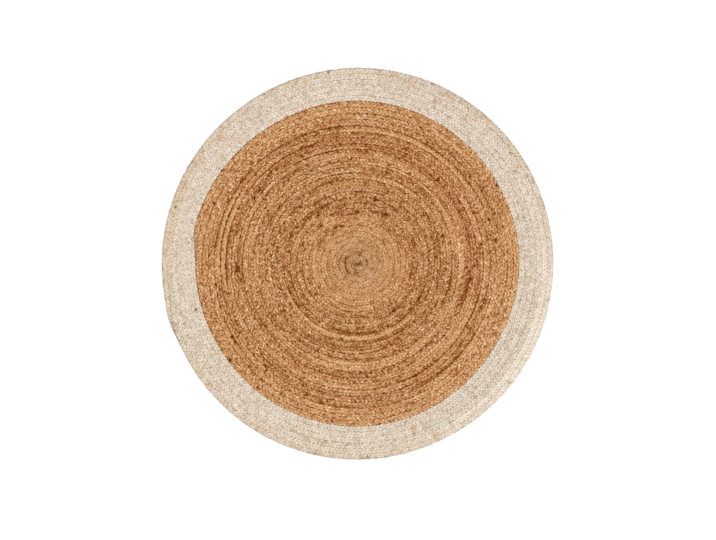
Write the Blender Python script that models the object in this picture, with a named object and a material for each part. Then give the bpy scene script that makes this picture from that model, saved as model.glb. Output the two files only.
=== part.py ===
"""A round braided jute rug: a flat three-strand plait wound outwards from an eye and sewn to itself
round by round. The field is natural jute, and the last rounds are a plait of bleached jute.

Each plait is one closed solid: a flat underside, and one raised rib for every round of the spiral.
Metres, +Z up. The rug lies on z = 0 with the middle of its rim on the Z axis.
"""

from math import cos, exp, hypot, pi, radians, sin, tau

import bmesh
import bpy

# Driving sizes
RUG_DIAMETER = 1.200
FIELD_DIAMETER = 0.994  # of the natural jute, a mean: its edge is a spiral
FIELD_ROUNDS = 28  # of natural plait, from the eye to the splice
BORDER_ROUNDS = 6  # of bleached plait, from the splice to where its tail begins
CREST_HEIGHT = 0.010  # the rug's thickness, at the middle of a plait
VALLEY_HEIGHT = 0.007  # where two rounds are sewn together
RIM_HEIGHT = 0.005  # the rim's widest line, halfway up the rounded side of the last round
RIM_UNDERCUT = 0.003  # how far the rim draws in below that line
PIECE_GAP = 0.0003  # between the natural and the bleached plait

# The winding. It runs anticlockwise, seen from above.
SEAM_ANGLE = radians(182)  # where the plait starts, where it is spliced, and where rounds are counted
EYE_STRETCH = 0.0035  # the first rounds close on a short straight start, so they are oval along X
EYE_ROUNDS = 1.2  # how far out, in rounds, that shows most
STEPS = 60  # around the rug
COARSE_ROUNDS = ((12, 2), (3, 4))  # rounds nearer the eye than this keep every second, or fourth, step
SPLICE_STEPS = 3  # before the seam, over which one plait tapers out and the other one in
TAIL_STEPS = 4  # that the bleached plait runs on past the seam
TAPER_STEPS = 3  # of them, over which its tail narrows to nothing
TAIL_SWELL = 0.0055  # how far the tail's folded end stands out there

# How far the rounds lie off true circles, in millimetres outwards. A row for each angle, in degrees.
#        angle inner middle outer field_edge rim
UNEVEN = (
    (0,   -7.0, -9.0, 0.0,  -2.0, 0.0),
    (30,  -5.0, -2.0, -4.0, -4.0, 1.0),
    (60,  -6.0, -4.5, -6.0, -4.0, 0.5),
    (90,  -7.5, -6.0, -7.0, -2.5, -0.5),
    (120, -8.0, 1.0,  -1.5, -4.0, -3.0),
    (150, 6.0,  10.0, 6.0,  1.5,  -2.5),
    (180, 10.0, 13.0, 5.0,  9.0,  -1.5),
    (210, 9.0,  9.0,  7.0,  5.5,  -2.0),
    (240, 4.5,  4.0,  6.0,  6.5,  0.0),
    (270, -2.0, 0.0,  4.0,  6.0,  0.0),
    (300, -5.0, -5.0, 0.0,  0.5,  -1.5),
    (330, -8.0, -10.0, -4.5, -5.5, 0.0),
)
EYE_SHARE = 0.06  # of the field's radius, within which the rounds are true
COLUMN_SHARES = (EYE_SHARE, 0.43, 0.60, 0.83, 1.0)  # where inner, middle, outer and field_edge apply
RIM_COLUMN = 5

# Worked out
RUG_RADIUS = RUG_DIAMETER / 2
FIELD_RADIUS = FIELD_DIAMETER / 2
PLAIT_WIDTH = FIELD_RADIUS / (FIELD_ROUNDS - 0.5)
ROWS_PER_ROUND = 2  # of mesh rows: a valley and a crest

# sRGB colours, read by eye
NATURAL_JUTE = (0.72, 0.52, 0.345)
BLEACHED_JUTE = (0.85, 0.785, 0.71)
JUTE_ROUGHNESS = 0.92
SMOOTH_ANGLE = radians(65)
WELD = 0.00005


def eased(t):
    """0 to 1, level at both ends."""
    t = min(1.0, max(0.0, t))
    return t * t * (3 - 2 * t)


def uneven(column, angle):
    """A column of UNEVEN at this angle, in metres, on one smooth curve through its rows."""
    place = (angle % tau) / tau * len(UNEVEN)
    row = int(place)
    t = place - row
    a, b, c, d = (UNEVEN[(row + i) % len(UNEVEN)][column] for i in (-1, 0, 1, 2))
    bend = 2 * a - 5 * b + 4 * c - d + t * (3 * (b - c) + d - a)
    return (b + 0.5 * t * (c - a + t * bend)) / 1000


def field_drift(share, angle):
    """How far out of true the field's rounds lie at this share of its radius."""
    if share <= EYE_SHARE:
        return 0.0
    values = [0.0] + [uneven(column, angle) for column in range(1, RIM_COLUMN)]
    for i, (low, high) in enumerate(zip(COLUMN_SHARES, COLUMN_SHARES[1:])):
        if share <= high:
            return values[i] + (values[i + 1] - values[i]) * (share - low) / (high - low)
    return values[-1]


def field_radius(widths, angle):
    """The radius of the line that lies this many plait widths out from the eye."""
    plain = PLAIT_WIDTH * widths
    oval = EYE_STRETCH * cos(2 * angle) * widths / EYE_ROUNDS * exp(1 - widths / EYE_ROUNDS)
    return plain + oval + field_drift(plain / FIELD_RADIUS, angle)


def splice_width(share):
    """The width, in plaits, that the natural plait keeps at the end of its last round."""
    taper = SPLICE_STEPS / STEPS
    return 1 - eased((share - (1 - taper)) / taper)


def tail_width(share):
    """The width, in plaits, of the bleached plait's tail, past its last full round."""
    end, taper = TAIL_STEPS / STEPS, TAPER_STEPS / STEPS
    return 1 - eased((share - (end - taper)) / taper)


def field_edge(share):
    """The plait widths from the eye to the field's edge, this share of a round past the seam."""
    return FIELD_ROUNDS - 2 + share + splice_width(share)


def rim_edge(share):
    return FIELD_ROUNDS + BORDER_ROUNDS - 1 + share + tail_width(share)


def rim_radius(share, angle):
    end, taper = TAIL_STEPS / STEPS, TAPER_STEPS / STEPS
    swollen = min(1.0, max(0.0, (share - (end - taper)) / taper))
    return RUG_RADIUS + uneven(RIM_COLUMN, angle) + TAIL_SWELL * sin(pi * swollen) ** 2


def border_radius(widths, share, angle):
    """Like field_radius, for the bleached rounds: they share out the room between field and rim."""
    inner = field_radius(field_edge(share), angle) + PIECE_GAP
    outer = rim_radius(share, angle)
    return inner + (outer - inner) * (widths - field_edge(share)) / (rim_edge(share) - field_edge(share))


def flat_rounds(first, count):
    """The rounds laid out as a flat grid: x is the share of a round past the seam, y the round's edge."""
    bm = bmesh.new()
    bmesh.ops.create_grid(bm, x_segments=STEPS, y_segments=count * ROWS_PER_ROUND, size=0.5)
    bmesh.ops.translate(bm, verts=bm.verts, vec=(0.5, 0.5, 0))
    bmesh.ops.scale(bm, verts=bm.verts, vec=(1, count, 1))
    bmesh.ops.translate(bm, verts=bm.verts, vec=(0, first, 0))
    return bm


def cut_away(bm, unwanted):
    """Deletes the faces of the flat rounds whose middle meets the test."""
    faces = [face for face in bm.faces if unwanted(face.calc_center_median())]
    bmesh.ops.delete(bm, geom=faces, context="FACES")


def coarsen_near_eye(bm):
    """Drops the crosswise edges that small rounds don't need."""
    for rounds, keep_every in COARSE_ROUNDS:
        edges = []
        for edge in bm.edges:
            a, b = edge.verts
            crosswise = abs(a.co.x - b.co.x) < WELD and max(a.co.y, b.co.y) < rounds + WELD
            if crosswise and round(a.co.x * STEPS) % keep_every:
                edges.append(edge)
        bmesh.ops.dissolve_edges(bm, edges=edges, use_verts=True)


def wind(bm, lane, radius):
    """Bends the flat rounds into their spiral. lane gives a point's widths out and its rib's fullness."""
    for vert in bm.verts:
        share, edge = vert.co.x, vert.co.y
        widths, full = lane(edge, share)
        angle = SEAM_ANGLE + tau * share
        out = radius(widths, share, angle)
        on_crest = round(edge * ROWS_PER_ROUND) % ROWS_PER_ROUND
        rise = (CREST_HEIGHT - VALLEY_HEIGHT) * full if on_crest else 0
        vert.co = (out * cos(angle), out * sin(angle), VALLEY_HEIGHT + rise)
    bmesh.ops.remove_doubles(bm, verts=bm.verts, dist=WELD)


def close_underside(bm):
    """Takes the open edges down to the floor and fills the flat base."""
    edges = [edge for edge in bm.edges if edge.is_boundary]
    made = bmesh.ops.extrude_edge_only(bm, edges=edges)["geom"]
    for vert in (item for item in made if isinstance(item, bmesh.types.BMVert)):
        on_rim = abs(vert.co.z - RIM_HEIGHT) < WELD
        keep = 1 - RIM_UNDERCUT / RUG_RADIUS if on_rim else 1
        vert.co = (vert.co.x * keep, vert.co.y * keep, 0)
    base = [item for item in made if isinstance(item, bmesh.types.BMEdge) and item.is_boundary]
    bmesh.ops.triangle_fill(bm, edges=base, use_beauty=True, use_dissolve=False, normal=(0, 0, -1))
    bmesh.ops.recalc_face_normals(bm, faces=bm.faces)


def jute(name, colour):
    material = bpy.data.materials.new(name)
    material.use_nodes = True
    shader = material.node_tree.nodes["Principled BSDF"]
    linear = [((c + 0.055) / 1.055) ** 2.4 for c in colour]
    shader.inputs["Base Color"].default_value = (*linear, 1)
    shader.inputs["Roughness"].default_value = JUTE_ROUGHNESS
    shader.inputs["Metallic"].default_value = 0
    return material


def add_part(name, bm, material, collection):
    """Shades the plait's crests round, and creases it where rounds meet."""
    mesh = bpy.data.meshes.new(name)
    bm.to_mesh(mesh)
    bm.free()
    mesh.shade_smooth()
    mesh.set_sharp_from_angle(angle=SMOOTH_ANGLE)
    for edge in mesh.edges:
        if all(abs(mesh.vertices[i].co.z - VALLEY_HEIGHT) < WELD for i in edge.vertices):
            edge.use_edge_sharp = True
    mesh.materials.append(material)
    part = bpy.data.objects.new(name, mesh)
    collection.objects.link(part)
    return part


def field_plait(collection):
    """The natural jute: every round from the eye to the splice."""
    bm = flat_rounds(0, FIELD_ROUNDS)
    coarsen_near_eye(bm)

    def lane(edge, share):
        if edge <= 1:
            # The first round widens from nothing, as it turns round the eye.
            return edge * share, eased(2 * share)
        if edge <= FIELD_ROUNDS - 1:
            return edge - 1 + share, 1
        width = splice_width(share)
        return FIELD_ROUNDS - 2 + share + (edge - FIELD_ROUNDS + 1) * width, width

    wind(bm, lane, lambda widths, share, angle: field_radius(widths, angle))
    close_underside(bm)
    return add_part("field_plait", bm, jute("natural_jute", NATURAL_JUTE), collection)


def border_plait(collection):
    """The bleached jute: from its tapered start in the splice to its tapered tail at the rim."""
    first, last = FIELD_ROUNDS, FIELD_ROUNDS + BORDER_ROUNDS
    bm = flat_rounds(first - 1, BORDER_ROUNDS + 2)
    splice_start, tail_end = 1 - SPLICE_STEPS / STEPS, TAIL_STEPS / STEPS
    cut_away(bm, lambda middle: middle.y < first and middle.x < splice_start)
    cut_away(bm, lambda middle: middle.y > last and middle.x > tail_end)

    def lane(edge, share):
        if edge < first:
            width = 1 - splice_width(share)
            return first - 1 + share - (first - edge) * width, width
        if edge > last:
            width = tail_width(share)
            return last - 1 + share + (edge - last) * width, width
        return edge - 1 + share, 1

    wind(bm, lane, border_radius)
    for vert in bm.verts:
        if vert.is_boundary and hypot(*vert.co.xy) > (RUG_RADIUS + FIELD_RADIUS) / 2:
            vert.co.z = RIM_HEIGHT
    close_underside(bm)
    return add_part("border_plait", bm, jute("bleached_jute", BLEACHED_JUTE), collection)


def main():
    for old in list(bpy.data.objects):
        bpy.data.objects.remove(old)
    collection = bpy.data.collections.new("round_jute_rug")
    bpy.context.scene.collection.children.link(collection)
    field_plait(collection)
    border_plait(collection)


main()
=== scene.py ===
from math import pi, radians, tau
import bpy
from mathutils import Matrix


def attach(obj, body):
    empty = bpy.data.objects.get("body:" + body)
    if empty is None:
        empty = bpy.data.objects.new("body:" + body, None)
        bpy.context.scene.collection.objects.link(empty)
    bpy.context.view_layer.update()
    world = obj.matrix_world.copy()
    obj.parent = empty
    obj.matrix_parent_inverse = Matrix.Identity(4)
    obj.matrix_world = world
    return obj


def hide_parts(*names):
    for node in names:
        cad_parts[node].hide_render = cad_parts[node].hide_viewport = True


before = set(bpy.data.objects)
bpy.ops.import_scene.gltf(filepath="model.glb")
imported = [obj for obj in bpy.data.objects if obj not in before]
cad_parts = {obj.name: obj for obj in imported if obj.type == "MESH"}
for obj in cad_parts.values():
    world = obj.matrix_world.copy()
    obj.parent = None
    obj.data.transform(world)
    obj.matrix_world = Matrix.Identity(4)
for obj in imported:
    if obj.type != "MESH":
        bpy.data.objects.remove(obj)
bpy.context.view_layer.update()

from types import SimpleNamespace

import bmesh
import bpy
import numpy as np

# ---------------------------------------------------------------------------------------------
# The natural plait, which is the whole field: a flat plait of three soft, hardly twisted strands
# of undyed jute, wound outwards anticlockwise from the eye and sewn to itself round by round. The
# rounds are pulled so tight that their edges sink into each other, and no floor shows between.
# ---------------------------------------------------------------------------------------------
FIELD_RADIUS = 0.497
FIELD_ROUNDS = 28
BORDER_ROUNDS = 6
# A round's outer edge moves out by a plait's width on its way round. That of the last one lies at
# the field's radius half-way.
PLAIT_WIDTH = FIELD_RADIUS / (FIELD_ROUNDS - 0.5)
# Turns are counted from the seam. There the natural plait tapers over the splice, which is a share
# of a turn, as the bleached one takes over.
SEAM_ANGLE = radians(182)
SPLICE = 3 / 60
# The first rounds are a little longer along X than across.
EYE_STRETCH = 0.0035
EYE_ROUNDS = 1.2

# How far hands laid the rounds off true circles, in millimetres outwards, every 30 degrees
# anticlockwise from +X. The columns go from the eye out to the field's edge, then the rim.
UNEVEN = np.array((
    # inner middle outer field_edge rim
    (-7.0,  -9.0,  0.0,  -2.0, 0.0),
    (-5.0,  -2.0,  -4.0, -4.0, 1.0),
    (-6.0,  -4.5,  -6.0, -4.0, 0.5),
    (-7.5,  -6.0,  -7.0, -2.5, -0.5),
    (-8.0,  1.0,   -1.5, -4.0, -3.0),
    (6.0,   10.0,  6.0,  1.5,  -2.5),
    (10.0,  13.0,  5.0,  9.0,  -1.5),
    (9.0,   9.0,   7.0,  5.5,  -2.0),
    (4.5,   4.0,   6.0,  6.5,  0.0),
    (-2.0,  0.0,   4.0,  6.0,  0.0),
    (-5.0,  -5.0,  0.0,  0.5,  -1.5),
    (-8.0,  -10.0, -4.5, -5.5, 0.0),
)) / 1000
# Where the eye, which is laid true, and the columns up to the field's edge lie in the field.
EYE_SHARE = 0.06
COLUMN_SHARES = (EYE_SHARE, 0.43, 0.60, 0.83, 1.0)


def eased(t):
    """0 to 1, level at both ends."""
    t = np.clip(t, 0.0, 1.0)
    return t * t * (3 - 2 * t)


def uneven(column, angle):
    """A column of UNEVEN at each angle, on one smooth curve through its rows."""
    place = (angle % tau) / tau * len(UNEVEN)
    row = place.astype(int)
    t = place - row
    a, b, c, d = (UNEVEN[(row + i) % len(UNEVEN), column] for i in (-1, 0, 1, 2))
    bend = 2 * a - 5 * b + 4 * c - d + t * (3 * (b - c) + d - a)
    return b + 0.5 * t * (c - a + t * bend)


def field_radius(widths, share, angle):
    """The radius of the line that lies this many plait widths from the eye, at any share of a turn."""
    plain = PLAIT_WIDTH * widths
    oval = EYE_STRETCH * np.cos(2 * angle) * widths / EYE_ROUNDS * np.exp(1 - widths / EYE_ROUNDS)
    at = np.clip(plain / FIELD_RADIUS, EYE_SHARE, 1.0)
    drift = np.zeros_like(plain)
    before = np.zeros_like(plain)
    for column, (low, high) in enumerate(zip(COLUMN_SHARES, COLUMN_SHARES[1:])):
        after = uneven(column, angle)
        here = (at >= low) & (at <= high)
        drift = np.where(here, before + (after - before) * (at - low) / (high - low), drift)
        before = after
    return plain + oval + drift


def splice_width(share):
    """What is left of the natural plait's width as it gives way to the bleached one."""
    return 1 - eased((share - (1 - SPLICE)) / SPLICE)


def field_lane(turn):
    """The plait's inner and outer edge, in plait widths from the eye, after so many turns."""
    inner = np.where(turn < 1, 0, turn - 1)
    outer = np.where(turn > FIELD_ROUNDS - 1, turn - 1 + splice_width(turn % 1), turn)
    return inner, outer


# Each strand swings from edge to edge of the plait and back, each way under one of the others and
# then over the other, and the three are a third of a swing apart. The outermost round turns short
# of the rim. Swings differ: every so many rings there is a new one, by up to so much.
STRANDS = 3
RINGS = 12
SIDES = 7
SWING = 0.70
RIM_SWING = 0.52
RIM_START = 0.06
SWING_CHANGES = (5, 0.13)
MID_HEIGHT = 0.0049
LIFT = 0.0022
# Half widths and half heights. A strand is broad and flat where it is crossed, and rounder where
# it turns. Its sides are narrow on top, where they show, and broad below.
CROSSED_WIDTH, CROSSED_HEIGHT = 0.0052, 0.0027
TURNING_WIDTH, TURNING_HEIGHT = 0.0047, 0.0039
CROWDING = 0.75
BOXY = 0.75
# It is lumpy, and for stretches of so many rings it is fatter or thinner, by up to so much.
LUMPS = 0.13
FATNESS = ((9, 0.06), (31, 0.05))
# Where the plait tapers to nothing, this is left of its strands.
LEAST_WIDTH = 0.02
LEAST_THICKNESS = 0.35
# A crossing goes from one dip under another strand to the next dip, half a swing on.
DIP = radians(60)
# The groove between rounds starts this far from a plait's middle line.
GROOVE_START = 0.62
# The steps in a turn by which the length of a plait is taken.
COURSE_STEPS = 720
MERGE_DISTANCE = 1e-6

# Fine lines of one tone run along the rounds, where the strands' edges lie in line: so many across
# a plait, with so many new tones in a turn.
LINES = 5
LINE_KNOTS = 14
LINE_SEED = 7


def plait_course(lane, radius, first, last, stitches):
    """Turns, and the swings that a strand has made by then, for a plait between two turns."""
    turn = np.append(np.arange(first, last, 1 / COURSE_STEPS), last)
    inner, outer = lane(turn)
    angle = SEAM_ANGLE + tau * turn
    out = radius((inner + outer) / 2, turn % 1, angle)
    step = np.hypot(np.diff(out * np.cos(angle)), np.diff(out * np.sin(angle)))
    stitch = np.interp((out[1:] + out[:-1]) / 2, *zip(*stitches))
    swings = np.concatenate(([0], np.cumsum(step / stitch / STRANDS)))
    return turn, swings


def wander(rng, count, *steps):
    """A random line: for each pair, a new value every so many steps, up to so much either way."""
    line = np.zeros(count)
    for every, most in steps:
        knots = rng.uniform(-most, most, count // every + 3)
        line = line + np.interp(np.arange(count) / every, np.arange(len(knots)), knots)
    return line


def fine_lines(turn, across):
    """The tone of the fine line at this turn, and at this share of the way across its plait."""
    rng = np.random.default_rng(LINE_SEED)
    tones = rng.normal(0, 1, ((FIELD_ROUNDS + BORDER_ROUNDS + 2) * LINE_KNOTS, LINES))
    knot = np.maximum(turn * LINE_KNOTS, 0)
    before = knot.astype(int)
    line = np.clip(across * LINES, 0, LINES - 1).astype(int)
    return tones[before, line] + (tones[before + 1, line] - tones[before, line]) * (knot - before)


def strand(name, lane, radius, course, number, first, last, seed, look):
    """One strand between two of its rings, as a closed tube in its place in the plait."""
    rng = np.random.default_rng(seed)
    turns, swings = course
    count = int(swings[-1] * RINGS) + 1
    ring = np.arange(count)
    turn = np.interp(ring / RINGS, swings, turns)
    phase = tau * (ring / RINGS + number / STRANDS)
    inner, outer = lane(turn)
    middle = (inner + outer) / 2
    width = np.clip(outer - inner, LEAST_WIDTH, 1)
    thick = LEAST_THICKNESS + (1 - LEAST_THICKNESS) * width
    side = np.sin(phase)
    at_rim = (side > 0) * eased((turn - (FIELD_ROUNDS + BORDER_ROUNDS - 1)) / RIM_START)
    swing = (SWING + (RIM_SWING - SWING) * at_rim) * (1 + wander(rng, count, SWING_CHANGES))
    widths = middle + swing * side * width / 2
    angle = SEAM_ANGLE + tau * turn
    out = radius(widths, turn % 1, angle)
    z = (MID_HEIGHT + LIFT * np.sin(2 * phase)) * thick
    centre = np.stack((out * np.cos(angle), out * np.sin(angle), z), axis=1)
    along = np.gradient(centre, axis=0)
    along /= np.linalg.norm(along, axis=1)[:, None]
    across = np.stack((-along[:, 1], along[:, 0], np.zeros(count)), axis=1)
    across /= np.linalg.norm(across, axis=1)[:, None]
    up = np.cross(along, across)
    turning = side ** 2
    fat = 1 + wander(rng, count, *FATNESS)
    half_width = (CROSSED_WIDTH + (TURNING_WIDTH - CROSSED_WIDTH) * turning) * width * fat
    half_height = (CROSSED_HEIGHT + (TURNING_HEIGHT - CROSSED_HEIGHT) * turning) * thick * (2 - fat)

    # A flat grid, a row for each ring, which is then bent round the strand's middle line.
    rows = last - first
    grid = bmesh.new()
    grid.loops.layers.uv.new("strand")
    bmesh.ops.create_grid(grid, x_segments=SIDES, y_segments=rows, size=1, calc_uvs=True)
    mesh = bpy.data.meshes.new(name)
    grid.to_mesh(mesh)
    grid.free()
    flat = np.empty(len(mesh.vertices) * 3, np.float32)
    mesh.vertices.foreach_get("co", flat)
    flat = flat.reshape(-1, 3).astype(float)
    column = np.rint((flat[:, 0] + 1) / 2 * SIDES).astype(int)
    row = np.rint((flat[:, 1] + 1) / 2 * rows).astype(int) + first
    cell = row, column % SIDES
    lump = (1 + rng.uniform(-LUMPS, LUMPS, (count, SIDES)))[cell]
    about = tau * column / SIDES
    about = about + CROWDING * np.sin(about)
    to_side = np.sign(np.sin(about)) * np.abs(np.sin(about)) ** BOXY
    to_top = -np.sign(np.cos(about)) * np.abs(np.cos(about)) ** BOXY
    sideways = to_side * half_width[row] * lump
    upwards = to_top * half_height[row] * lump
    co = centre[row] + across[row] * sideways[:, None] + up[row] * upwards[:, None]
    co[:, 2] = np.maximum(co[:, 2], 0)
    mesh.vertices.foreach_set("co", co.astype(np.float32).ravel())

    # U is the length along the strand in metres, V goes once round it.
    vertex = np.empty(len(mesh.loops), np.int32)
    mesh.loops.foreach_get("vertex_index", vertex)
    steps = np.linalg.norm(np.diff(centre, axis=0), axis=1)
    length = np.concatenate(([0], np.cumsum(steps)))
    uv = np.stack((length[row[vertex]], about[vertex] / tau), axis=1)
    mesh.uv_layers["strand"].data.foreach_set("uv", uv.astype(np.float32).ravel())

    # Where each point lies: how far from its plait's middle line, from -1 to 1 at the edges, how
    # deep in the groove between rounds, how low on its strand, and on which fine line.
    share = turn % 1
    reach = widths[row] + (np.hypot(co[:, 0], co[:, 1]) - out[row]) / PLAIT_WIDTH
    off = (reach - middle[row]) * 2 / width[row]
    edge = np.floor(reach - share[row])
    at = SimpleNamespace(
        row=row, cell=cell, co=co, out=out, angle=angle % tau, turn=turn, off=off,
        crossing=np.floor((phase + DIP) / pi).astype(int),
        groove=eased((np.abs(off) - GROOVE_START) / (1 - GROOVE_START)),
        flank=1 - np.clip(to_top, 0, 1),
        line=fine_lines(edge + 1 + share[row], reach - share[row] - edge),
    )
    for layer, values in look(rng, at).items():
        attribute = mesh.attributes.new(layer, "FLOAT", "POINT")
        attribute.data.foreach_set("value", values.astype(np.float32))

    # The grid's two sides are joined, and the ends closed.
    tube = bmesh.new()
    tube.from_mesh(mesh)
    bmesh.ops.remove_doubles(tube, verts=tube.verts, dist=MERGE_DISTANCE)
    bmesh.ops.holes_fill(tube, edges=[open_edge for open_edge in tube.edges if open_edge.is_boundary])
    for face in tube.faces:
        face.smooth = True
    bmesh.ops.recalc_face_normals(tube, faces=tube.faces)
    tube.to_mesh(mesh)
    tube.free()
    piece = bpy.data.objects.new(name, mesh)
    bpy.context.scene.collection.objects.link(piece)
    return piece, length[last] - length[first]


def sRGB(code):
    """A hex colour as the linear one that a shader takes."""
    channels = [int(code[i:i + 2], 16) / 255 for i in (1, 3, 5)]
    return (*(c / 12.92 if c <= 0.04045 else ((c + 0.055) / 1.055) ** 2.4 for c in channels), 1)


def node(tree, kind, settings=(), links=()):
    """Adds a node, with its settings and what goes into it."""
    made = tree.nodes.new(kind)
    for key, value in dict(settings).items():
        if isinstance(key, int) or key in made.inputs:
            made.inputs[key].default_value = value
        else:
            setattr(made, key, value)
    for key, source in dict(links).items():
        tree.links.new(source, made.inputs[key])
    return made.outputs


# Loose jute fibre, hardly twisted: to the eye it is matt and faintly silky, and speckled by tufts
# 3 mm wide that lie along the strand. A real fibre is a tenth of a millimetre thick, too fine to
# show, so it is drawn 1.5 mm wide. Seven ridges lie side by side round a strand, and swerve with
# the tufts. The colour changes in blotches 20 mm wide, which run on from strand to strand.
STRAND_RADIUS = 0.0045
TUFT = 0.0028
TUFT_LENGTH = 0.0065
FINE_FIBRE = 0.0015
RIDGES_ROUND = 7
RIDGE_SWERVE = 9.0
RIDGE_RELIEF = 0.3
PIT_BOTTOM, PIT_TOP = 0.34, 0.46
BLOTCH = 0.020
MOST_TINT = 0.7
RELIEF = 0.0011
RELIEF_STRENGTH = 0.9


def jute(name, tones, gloss, rust, straw, aged, blotches, tuft_tone, pit_tone, ridge_tone):
    """Jute in these tones, from dark to pale, with its own blotches, tufts, pits and ridges."""
    material = bpy.data.materials.new(name)
    material.use_nodes = True
    tree = material.node_tree
    shader = tree.nodes["Principled BSDF"]
    shader.inputs["Roughness"].default_value = 0.8
    shader.inputs["Specular IOR Level"].default_value = 0.25
    shader.inputs["Specular Tint"].default_value = sRGB(gloss)
    shader.inputs["Sheen Weight"].default_value = 0.12
    shader.inputs["Sheen Roughness"].default_value = 0.5
    shader.inputs["Sheen Tint"].default_value = sRGB(gloss)

    # The pattern is wrapped round the strand, so that it has no seam.
    uv = node(tree, "ShaderNodeUVMap", {"uv_map": "strand"})["UV"]
    place = node(tree, "ShaderNodeSeparateXYZ", {}, {0: uv})
    about = node(tree, "ShaderNodeMath", {"operation": "MULTIPLY", 1: tau}, {0: place["Y"]})[0]
    x = node(tree, "ShaderNodeMath", {"operation": "COSINE"}, {0: about})[0]
    y = node(tree, "ShaderNodeMath", {"operation": "SINE"}, {0: about})[0]
    stretch = TUFT / TUFT_LENGTH / STRAND_RADIUS
    z = node(tree, "ShaderNodeMath", {"operation": "MULTIPLY", 1: stretch}, {0: place["X"]})[0]
    wrapped = node(tree, "ShaderNodeCombineXYZ", {}, {0: x, 1: y, 2: z})[0]

    tuft = node(tree, "ShaderNodeTexNoise", {"Scale": STRAND_RADIUS / TUFT, "Detail": 1},
                {"Vector": wrapped})["Fac"]
    fine = node(tree, "ShaderNodeTexNoise", {"Scale": STRAND_RADIUS / FINE_FIBRE, "Detail": 2},
                {"Vector": wrapped})["Fac"]
    swerve = node(tree, "ShaderNodeMath", {"operation": "MULTIPLY", 1: RIDGE_SWERVE}, {0: tuft})[0]
    winding = node(tree, "ShaderNodeMath", {"operation": "MULTIPLY_ADD", 1: RIDGES_ROUND},
                   {0: about, 2: swerve})[0]
    ridge = node(tree, "ShaderNodeMath", {"operation": "SINE"}, {0: winding})[0]
    pits = node(tree, "ShaderNodeMapRange",
                {"From Min": PIT_BOTTOM, "From Max": PIT_TOP, "To Min": -pit_tone, "To Max": 0.0},
                {"Value": fine})[0]
    tufts = node(tree, "ShaderNodeMath",
                 {"operation": "MULTIPLY_ADD", 1: tuft_tone, 2: -tuft_tone / 2}, {0: tuft})[0]
    ridges = node(tree, "ShaderNodeMath", {"operation": "MULTIPLY_ADD", 1: ridge_tone},
                  {0: ridge, 2: tufts})[0]
    speckle = node(tree, "ShaderNodeMath", {"operation": "ADD"}, {0: ridges, 1: pits})[0]
    spot = node(tree, "ShaderNodeTexCoord")["Object"]
    blotch = node(tree, "ShaderNodeTexNoise", {"Scale": 1 / BLOTCH, "Detail": 1},
                  {"Vector": spot})["Fac"]
    cast = node(tree, "ShaderNodeMath",
                {"operation": "MULTIPLY_ADD", 1: blotches, 2: -blotches / 2}, {0: blotch})[0]

    # The strand's own layers: its tone, from dark to pale, its warmth, below 0 for straw and above
    # for rust, its age, and how rough it is, which is how much of the speckle it has.
    tone, warmth, age, rough = (node(tree, "ShaderNodeAttribute", {"attribute_name": layer})["Fac"]
                                for layer in ("tone", "warmth", "age", "rough"))
    warmth = node(tree, "ShaderNodeMath", {"operation": "ADD"}, {0: warmth, 1: cast})[0]
    toned = node(tree, "ShaderNodeMath", {"operation": "MULTIPLY_ADD"},
                 {0: speckle, 1: rough, 2: tone})[0]
    colour = node(tree, "ShaderNodeValToRGB", {}, {"Fac": toned})["Color"]
    stops = colour.node.color_ramp.elements
    while len(stops) < len(tones):
        stops.new(0.5)
    for stop, (position, code) in zip(stops, tones):
        stop.position = position
        stop.color = sRGB(code)
    for layer, most, tint in ((warmth, 1.0, rust), (warmth, -1.0, straw), (age, 1.0, aged)):
        share = node(tree, "ShaderNodeMapRange", {"From Max": most, "To Max": MOST_TINT},
                     {"Value": layer})[0]
        colour = node(tree, "ShaderNodeMix",
                      {"data_type": "RGBA", "blend_type": "MULTIPLY", 7: sRGB(tint)},
                      {0: share, 6: colour})[2]
    tree.links.new(colour, shader.inputs["Base Color"])
    relief = node(tree, "ShaderNodeMath", {"operation": "MULTIPLY_ADD", 1: RIDGE_RELIEF},
                  {0: ridge, 2: fine})[0]
    bump = node(tree, "ShaderNodeBump", {"Strength": RELIEF_STRENGTH, "Distance": RELIEF},
                {"Height": relief})[0]
    tree.links.new(bump, shader.inputs["Normal"])
    return material


# Undyed jute: golden brown, from bark brown in the pits to pale straw on the tufts.
natural_jute = jute(
    "natural_jute",
    ((0.0, "#4a2208"), (0.22, "#92531c"), (0.48, "#cc9967"), (0.72, "#e0b58a"), (1.0, "#f2d6b4")),
    gloss="#e0a060", rust="#d58a5c", straw="#ecd9a8", aged="#dcebff", blotches=0.7,
    tuft_tone=1.25, pit_tone=0.22, ridge_tone=0.07,
)

# Millimetres from the eye, and the natural jute's tone there, from 0, dark, to 1, pale.
FIELD_TONES = (
    # out tone
    (0,   0.50),
    (20,  0.535),
    (60,  0.56),
    (100, 0.565),
    (135, 0.525),
    (165, 0.48),
    (205, 0.44),
    (230, 0.42),
    (260, 0.46),
    (285, 0.52),
    (305, 0.53),
    (322, 0.51),
    (340, 0.50),
    (368, 0.47),
    (405, 0.51),
    (432, 0.50),
    (450, 0.56),
    (500, 0.57),
)
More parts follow.
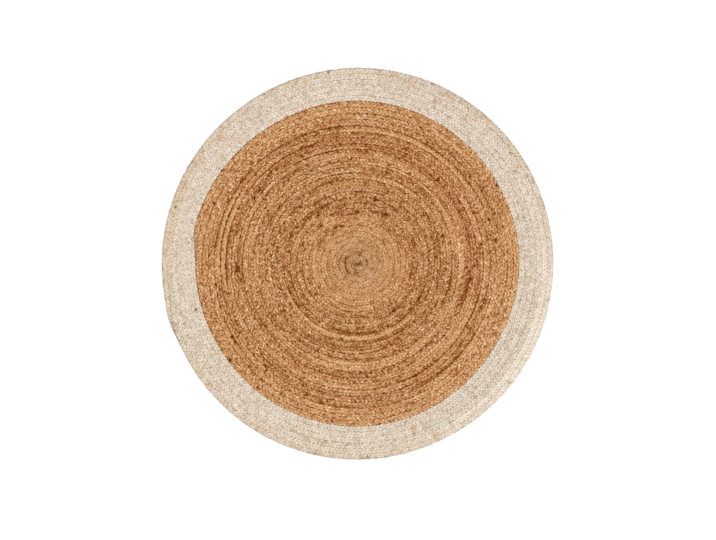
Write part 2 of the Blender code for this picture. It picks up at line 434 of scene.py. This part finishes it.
# Rounds that stand out from above: between two angles in degrees, anticlockwise from +X, how far
# from the eye in millimetres at the first and at the last, and how much darker, or below 0 paler.
ROUND_CHART = (
    # start stop near far darker
    (30,  90,  420, 420, 0.5),
    (90,  135, 420, 432, 0.7),
    (135, 178, 434, 437, 1.0),
    (205, 228, 441, 451, 0.6),
    (245, 300, 441, 437, 0.6),
    (30,  95,  400, 400, 0.5),
    (147, 180, 420, 420, 0.6),
    (290, 335, 417, 417, 0.8),
    (0,   12,  379, 379, 0.8),
    (63,  72,  378, 378, 0.8),
    (105, 138, 388, 388, 0.8),
    (160, 190, 402, 402, 1.0),
    (60,  110, 359, 363, 0.5),
    (135, 170, 374, 383, 0.8),
    (285, 350, 386, 383, 0.8),
    (338, 360, 372, 377, 1.0),
    (80,  96,  343, 343, 1.0),
    (192, 230, 343, 343, 0.8),
    (340, 360, 343, 343, 1.0),
    (20,  40,  322, 322, 0.8),
    (112, 135, 331, 336, 1.0),
    (0,   10,  296, 296, 1.0),
    (38,  108, 305, 305, 0.8),
    (138, 160, 291, 291, 1.0),
    (190, 225, 310, 305, 1.0),
    (250, 325, 300, 296, 0.8),
    (330, 360, 291, 291, 1.0),
    (225, 300, 267, 261, 0.6),
    (275, 310, 245, 245, 1.0),
    (0,   30,  245, 245, 0.6),
    (110, 148, 202, 205, 1.0),
    (150, 168, 219, 219, 1.0),
    (195, 240, 224, 224, 0.6),
    (247, 290, 212, 215, 1.0),
    (300, 345, 215, 215, 0.6),
    (300, 335, 181, 181, 0.6),
    (110, 160, 127, 136, 1.0),
    (165, 228, 141, 141, 0.6),
    (15,  60,  144, 144, 0.6),
    (52,  80,  182, 158, 0.9),
    (86,  107, 158, 149, 0.7),
    (10,  30,  178, 186, 0.7),
    (340, 360, 168, 168, 0.7),
    (150, 265, 89,  89,  0.5),
    (0,   90,  68,  72,  0.5),
    (155, 205, 57,  57,  0.6),
    (140, 235, 37,  38,  1.2),
    (70,  130, 36,  36,  0.8),
    (335, 360, 30,  30,  0.9),
    (0,   30,  30,  30,  0.9),
    (240, 300, 28,  28,  0.7),
    (0,   95,  311, 311, -0.7),
    (0,   135, 333, 333, -0.7),
    (30,  100, 409, 409, -0.7),
    (145, 190, 428, 428, -0.7),
    (145, 190, 411, 411, -0.7),
    (280, 360, 363, 363, -0.7),
    (250, 340, 308, 308, -0.7),
    (200, 320, 230, 230, -0.9),
    (85,  135, 244, 244, -0.7),
    (130, 170, 193, 202, -0.7),
    (160, 208, 134, 134, -0.8),
)
# How dark and how broad such a round is, over how many degrees it fades in, and how much of the
# other changes it does without.
CHART_TONE = 0.24
CHART_LINE = 0.0044
CHART_END = 6.0
CHART_CALM = 0.75

# Dark bits of bark in the jute, in millimetres to the right of the middle and away from it.
BARK = (
    (-160, 465), (-85, 415), (-65, 415), (-210, 255), (-225, 245), (-300, 225), (-315, 200),
    (-355, 255), (-265, 105), (-260, 85), (-70, 110), (-45, 115), (-165, 55), (-440, 185),
    (55, 455), (215, 370), (250, 260), (270, 240), (55, 195), (0, 160), (85, 150), (400, 135),
    (425, 75), (375, 60), (260, 85), (425, 240), (355, 155), (-370, -9), (-368, -16),
    (-365, -24), (-355, -45), (-435, -65), (-465, -125), (-145, -85), (-130, -95), (-240, -125),
    (-225, -145), (-75, -195), (-50, -230), (-385, -225), (-375, -240), (-390, -295),
    (-305, -380), (-275, -410), (-80, -480), (-155, -400), (-280, -325), (-330, -315),
    (-120, -265), (235, -295), (190, -105), (110, -145), (65, -490), (100, -485), (350, -45),
    (265, -220), (180, -345),
)
BARK_TONE = 0.50
BARK_SIZE = 0.0044
# The eye itself is dark, and so are the first rounds round it, which are also greyer with age.
EYE_TONE = 0.34
EYE_HALF_LENGTH, EYE_HALF_WIDTH = 0.015, 0.006
EYE_BELOW = 0.003
EYE_AGE, EYE_AGE_RADIUS = 0.8, 0.13

# How a strand changes along it: every so many rings a new value, up to so much either way.
NATURAL_DRIFT = ((900, 0.03), (200, 0.05), (45, 0.04))
NATURAL_WARMTH = ((500, 0.35), (110, 0.35))
# How much its crossings, its tufts and the fine lines differ, and how dark the painted shade on its
# flanks is. Near the eye it is calmer.
NATURAL_CROSSING = 0.025
NATURAL_TUFTS = 0.165
NATURAL_LINES, OPEN_LINES = 0.03, 0.06
NATURAL_FLANK_SHADE = 0.06
CALM_RADIUS, CALM_END = 0.06, 0.19
CALM_SHARE = 0.42
# The outermost edge is in shade all along the upper left, and a little paler across from there.
EDGE_SHADE = 0.18
LEAST_SHADE = -0.3
SHADED_SIDE = radians(150)
# Painted shade darkens the grooves between rounds. Half-way out the rounds lie less tight: their
# lines show more, and their grooves get more painted shade, a third of that all round and the rest
# at the upper left, away from the lamp.
GROOVE_SHADE, OPEN_GROOVE_SHADE = 0.06, 0.10
OPEN_ROUNDS, OPEN_SPREAD = 0.36, 0.09
GROOVE_SHADE_SIDE = radians(130)
GROOVE_SHADE_ALL_ROUND = 1 / 3
# The same rounds are redder at the upper right, and those further out are yellower.
RED_TONE, RED_SPREAD = 0.25, 0.06
RED_SIDE = radians(40)
YELLOW_TONE, YELLOW_ROUNDS, YELLOW_SPREAD = 0.2, 0.43, 0.06


def spot_share(co, x, y, size):
    """How far each point lies in the soft spot at x, y, which are in millimetres."""
    return np.exp(-((co[:, 0] - x / 1000) ** 2 + (co[:, 1] - y / 1000) ** 2) / size ** 2)


def natural_look(rng, at):
    """Slow changes along each strand, quick ones from tuft to tuft, lines, and the rounds charted."""
    count = len(at.out)
    each = rng.normal(0, NATURAL_CROSSING, at.crossing.max() + 2)[at.crossing]
    tone = np.interp(at.out * 1000, *zip(*FIELD_TONES)) + each
    drift = wander(rng, count, *NATURAL_DRIFT)
    red = np.exp(-((at.out - OPEN_ROUNDS) / RED_SPREAD) ** 2)
    red = red * np.clip(np.cos(at.angle - RED_SIDE), 0, 1)
    yellow = eased((at.out - YELLOW_ROUNDS) / YELLOW_SPREAD)
    warmth = wander(rng, count, *NATURAL_WARMTH) + RED_TONE * red - YELLOW_TONE * yellow

    spot = np.hypot(at.co[:, 0], at.co[:, 1])
    around = np.arctan2(at.co[:, 1], at.co[:, 0])
    degrees = np.degrees(around) % 360
    charted = np.zeros(len(spot))
    for start, stop, near, far, darker in ROUND_CHART:
        line = (near + (far - near) * (degrees - start) / (stop - start)) / 1000
        ends = eased((degrees - start) / CHART_END) * eased((stop - degrees) / CHART_END)
        charted = charted + darker * np.exp(-((spot - line) / CHART_LINE) ** 2) * ends
    unrest = CALM_SHARE + (1 - CALM_SHARE) * eased((spot - CALM_RADIUS) / (CALM_END - CALM_RADIUS))
    unrest = unrest * (1 - CHART_CALM * np.clip(np.abs(charted), 0, 1))
    tufts = rng.normal(0, NATURAL_TUFTS, (count, SIDES))[at.cell]
    loose = np.exp(-((spot - OPEN_ROUNDS) / OPEN_SPREAD) ** 2)
    lines = (NATURAL_LINES + OPEN_LINES * loose) * at.line
    # Painted shade in the grooves between rounds: more where the rounds lie loose, and most at the
    # upper left, away from the lamp.
    groove_shade_side = np.clip(np.cos(around - GROOVE_SHADE_SIDE), 0, 1)
    groove_shade_share = loose * (GROOVE_SHADE_ALL_ROUND + (1 - GROOVE_SHADE_ALL_ROUND) * groove_shade_side)
    groove_shade = (GROOVE_SHADE + OPEN_GROOVE_SHADE * groove_shade_share) * at.groove
    shade = EDGE_SHADE * np.clip(np.cos(around - SHADED_SIDE), LEAST_SHADE, 1)
    field_edge = eased(at.off) * (at.turn[at.row] > FIELD_ROUNDS - 1)
    tone = tone[at.row] + (drift[at.row] + tufts + lines) * unrest
    # Painted shade on the strands' flanks.
    tone = tone - NATURAL_FLANK_SHADE * at.flank - groove_shade
    tone = tone - CHART_TONE * charted - shade * field_edge
    for x, y in BARK:
        tone = tone - BARK_TONE * spot_share(at.co, x, y, BARK_SIZE)
    eye = np.hypot(at.co[:, 0] / EYE_HALF_LENGTH, (at.co[:, 1] + EYE_BELOW) / EYE_HALF_WIDTH)
    tone = tone - EYE_TONE * np.exp(-eye ** 2)
    age = EYE_AGE * eased(1 - spot / EYE_AGE_RADIUS)
    return {"tone": tone, "warmth": warmth[at.row], "age": age, "rough": (1 + unrest) / 2}


# Metres from the eye, and how long a stitch is there: the plait is drawn tighter near the eye.
FIELD_STITCHES = (
    # out  stitch
    (0.00, 0.0103),
    (0.18, 0.0104),
    (0.31, 0.0110),
    (0.38, 0.0118),
    (0.42, 0.0129),
    (0.50, 0.0129),
)
# The turns between which the strands go. They stop a little short of the plait's end.
END_ROOM = 0.002
FIELD_START = 0.30
FIELD_END = FIELD_ROUNDS - END_ROOM
# A strand is made up as the plait grows, from lengths that meet end to end.
LENGTHS = "abc"
NATURAL_SEED = 40
course = plait_course(field_lane, field_radius, FIELD_START, FIELD_END, FIELD_STITCHES)
rings = int(course[1][-1] * RINGS)
cuts = [rings * cut // len(LENGTHS) for cut in range(len(LENGTHS) + 1)]
for number in range(STRANDS):
    for letter, first, last in zip(LENGTHS, cuts, cuts[1:]):
        piece, length = strand(f"natural_strand_{number + 1}{letter}", field_lane, field_radius,
                               course, number, first, last, NATURAL_SEED + number, natural_look)
        piece.data.materials.append(natural_jute)
        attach(piece, "root")
        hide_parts("field_plait")

# ---------------------------------------------------------------------------------------------
# The bleached plait, which is the border: the same plait in bleached jute, spliced on where the
# natural one ends and wound six times round it. Its last end is folded in at the rim on the left.
# Its rounds hardly show. The last one is still a little tan, or pale at the lower right.
# ---------------------------------------------------------------------------------------------
RUG_RADIUS = 0.600
PIECE_GAP = 0.0003
# The rim's column of UNEVEN.
RIM_COLUMN = 4
# The plait's tail goes on past its last round and tapers, for these shares of a turn, and makes the
# rim swell.
TAIL = 4 / 60
TAPER = 3 / 60
TAIL_SWELL = 0.0055


def tail_width(share):
    """What is left of the plait's width where its end is folded in."""
    return 1 - eased((share - (TAIL - TAPER)) / TAPER)


def border_radius(widths, share, angle):
    """Like field_radius, for the bleached rounds: they share out the room from field to rim."""
    edge = FIELD_ROUNDS - 2 + share + splice_width(share)
    rim = FIELD_ROUNDS + BORDER_ROUNDS - 1 + share + tail_width(share)
    swollen = np.clip((share - (TAIL - TAPER)) / TAPER, 0, 1)
    inner = field_radius(edge, share, angle) + PIECE_GAP
    outer = RUG_RADIUS + uneven(RIM_COLUMN, angle) + TAIL_SWELL * np.sin(pi * swollen) ** 2
    return inner + (outer - inner) * (widths - edge) / (rim - edge)


def border_lane(turn):
    """Like field_lane, for the bleached plait: it starts at the splice and ends in the tail."""
    share = turn % 1
    inner = np.where(turn < FIELD_ROUNDS, turn - 1 + splice_width(share), turn - 1)
    outer = np.where(turn > FIELD_ROUNDS + BORDER_ROUNDS, turn - 1 + tail_width(share), turn)
    return inner, outer


# Bleached jute: cream, with pinkish and straw blotches and grey-brown pits, and tan where it is
# less bleached.
bleached_jute = jute(
    "bleached_jute",
    ((0.0, "#6e5946"), (0.25, "#b8a690"), (0.5, "#ded1c0"), (0.75, "#ede4d8"), (1.0, "#fbf6ec")),
    gloss="#fff0d8", rust="#f8dcce", straw="#f2e6ca", aged="#f0deb6", blotches=2.9,
    tuft_tone=0.95, pit_tone=0.25, ridge_tone=0.05,
)

# Millimetres from the eye, and the bleached jute's tone there.
BORDER_TONES = (
    # out tone
    (490, 0.55),
    (560, 0.56),
    (580, 0.55),
    (600, 0.54),
)
# Millimetres from the eye, and how far the jute is tan there.
RIM_TAN = (
    # out tan
    (562, 0.0),
    (576, 0.6),
    (584, 1.0),
    (590, 0.7),
    (600, 0.2),
)
# The rim is tan all round but at the lower right, and most of all on the left.
TAN_SHARE, TAN_SIDE_SHARE = 0.22, 0.5
TAN_SIDE, TAN_SPREAD = radians(162), radians(20)
# At the lower right it is pale instead, and its very edge is darker all round with painted shade.
PALE_SIDE, PALE_SHARPNESS = radians(335), 4
PALE_FROM, PALE_SPREAD = 0.556, 0.012
PALE_TONE = 0.19
RIM_EDGE_SHADE = 0.17
# Dark bits of bark in the bleached jute, and then patches that are less bleached, in millimetres to
# the right of the middle and away from it.
BLEACHED_BARK = (
    (-495, -140), (-558, 174), (172, -524), (464, -363), (469, 338), (481, 283), (-90, 585),
    (30, -592),
)
UNBLEACHED = (
    (237, -526), (170, -501), (403, 440), (-565, -205), (-420, 385),
)
UNBLEACHED_SIZE = 0.009
# How a strand changes along it, as with the natural ones, but less.
BLEACHED_DRIFT = ((600, 0.04), (100, 0.03))
BLEACHED_WARMTH = ((300, 0.2), (24, 0.3))
BLEACHED_TAN = (20, 0.3)
BLEACHED_CROSSING = 0.02
BLEACHED_TUFTS = 0.09
BLEACHED_LINES = 0.02
# Painted shade on its flanks and in the grooves between rounds.
BLEACHED_FLANK_SHADE = 0.05
BLEACHED_GROOVE_SHADE = 0.02


def bleached_look(rng, at):
    """Even along the strands, quick changes from tuft to tuft, and tan or pale at the rim."""
    count = len(at.out)
    each = rng.normal(0, BLEACHED_CROSSING, at.crossing.max() + 2)[at.crossing]
    rim = np.interp(at.out * 1000, *zip(*RIM_TAN))
    pale = np.clip(np.cos(at.angle - PALE_SIDE), 0, 1) ** PALE_SHARPNESS
    tone = np.interp(at.out * 1000, *zip(*BORDER_TONES)) + wander(rng, count, *BLEACHED_DRIFT)
    tone = tone + each + PALE_TONE * pale * eased((at.out - PALE_FROM) / PALE_SPREAD)
    tufts = rng.normal(0, BLEACHED_TUFTS, (count, SIDES))[at.cell]
    tone = tone[at.row] + tufts + BLEACHED_LINES * at.line
    # Painted shade on the strands' flanks and in the grooves between rounds.
    tone = tone - BLEACHED_FLANK_SHADE * at.flank - BLEACHED_GROOVE_SHADE * at.groove
    # Painted shade on the outer flank of the outermost round, all round.
    rim_edge = eased(at.off) * (at.turn[at.row] > FIELD_ROUNDS + BORDER_ROUNDS - 1)
    tone = tone - RIM_EDGE_SHADE * rim_edge
    tan_side = np.exp(-((at.angle - TAN_SIDE) / TAN_SPREAD) ** 2)
    tan = TAN_SHARE * (1 - pale) + TAN_SIDE_SHARE * tan_side
    age = (rim * (tan + wander(rng, count, BLEACHED_TAN)))[at.row]
    warmth = wander(rng, count, *BLEACHED_WARMTH)[at.row]
    for x, y in BLEACHED_BARK:
        tone = tone - BARK_TONE * spot_share(at.co, x, y, BARK_SIZE)
    for x, y in UNBLEACHED:
        patch = spot_share(at.co, x, y, UNBLEACHED_SIZE)
        age = age + patch
        warmth = warmth + patch
    return {"tone": tone, "warmth": warmth, "age": age, "rough": np.ones(len(at.row))}


# Metres from the eye, and how long a stitch is there.
BORDER_STITCHES = (
    # out  stitch
    (0.49, 0.0118),
    (0.60, 0.0119),
)
TAIL_ROOM = 0.003
BORDER_START = FIELD_ROUNDS - SPLICE + END_ROOM
BORDER_END = FIELD_ROUNDS + BORDER_ROUNDS + TAIL - TAIL_ROOM
BLEACHED_SEED = 70
course = plait_course(border_lane, border_radius, BORDER_START, BORDER_END, BORDER_STITCHES)
rings = int(course[1][-1] * RINGS)
for number in range(STRANDS):
    piece, length = strand(f"bleached_strand_{number + 1}", border_lane, border_radius,
                           course, number, 0, rings, BLEACHED_SEED + number, bleached_look)
    piece.data.materials.append(bleached_jute)
    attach(piece, "root")
    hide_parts("border_plait")

# ---------------------------------------------------------------------------------------------
# The floor: one flat sheet, painted matt white. It reaches past what the camera shows, and does
# not belong to the rug.
# ---------------------------------------------------------------------------------------------
FLOOR_HALF = 30.0
scene = bpy.context.scene
grid = bmesh.new()
bmesh.ops.create_grid(grid, x_segments=1, y_segments=1, size=FLOOR_HALF)
mesh = bpy.data.meshes.new("floor")
grid.to_mesh(mesh)
grid.free()
floor = bpy.data.objects.new("floor", mesh)
scene.collection.objects.link(floor)
# Matt white paint: even and without gloss, so that the eye sees no floor but the rug alone.
paint = bpy.data.materials.new("matt_white_paint")
paint.use_nodes = True
shader = paint.node_tree.nodes["Principled BSDF"]
shader.inputs["Base Color"].default_value = sRGB("#f9f9f9")
shader.inputs["Roughness"].default_value = 1.0
shader.inputs["Specular IOR Level"].default_value = 0.0
floor.data.materials.append(paint)

# ---------------------------------------------------------------------------------------------
# Studio light: an even white room, and one broad soft lamp from the lower right of the picture,
# which gives the strands their form.
# ---------------------------------------------------------------------------------------------
ROOM_LIGHT = 0.75
LAMP_LIGHT = 1.4
LAMP_SOFTNESS = radians(50)
LAMP_TILT, LAMP_TURN = radians(18), radians(50)
scene.view_settings.view_transform = "Standard"
world = bpy.data.worlds.new("white_room")
scene.world = world
world.use_nodes = True
background = world.node_tree.nodes["Background"]
background.inputs["Color"].default_value = (1, 1, 1, 1)
background.inputs["Strength"].default_value = ROOM_LIGHT

lamp = bpy.data.objects.new("soft_lamp", bpy.data.lights.new("soft_lamp", "SUN"))
lamp.data.energy = LAMP_LIGHT
lamp.data.angle = LAMP_SOFTNESS
lamp.rotation_euler = (LAMP_TILT, 0, LAMP_TURN)
scene.collection.objects.link(lamp)

# ---------------------------------------------------------------------------------------------
# The camera: straight above, so far up that the rug is as large in the picture as in the photo,
# and moved by so many of the photo's pixels, to the right and up, that it lies in the same place.
# ---------------------------------------------------------------------------------------------
PHOTO_WIDTH = 716
RUG_RADIUS_IN_PHOTO = 195.7
PHOTO_SHIFT_X, PHOTO_SHIFT_Y = 0.45, -6.3
LENS, SENSOR = 85, 36
FARTHEST = 50
photo_pixel = RUG_RADIUS / RUG_RADIUS_IN_PHOTO
camera = bpy.data.objects.new("camera", bpy.data.cameras.new("camera"))
camera.data.lens = LENS
camera.data.sensor_width = SENSOR
camera.data.clip_end = FARTHEST
height = PHOTO_WIDTH * photo_pixel * LENS / SENSOR + MID_HEIGHT
camera.location = (PHOTO_SHIFT_X * photo_pixel, PHOTO_SHIFT_Y * photo_pixel, height)
scene.collection.objects.link(camera)
scene.camera = camera
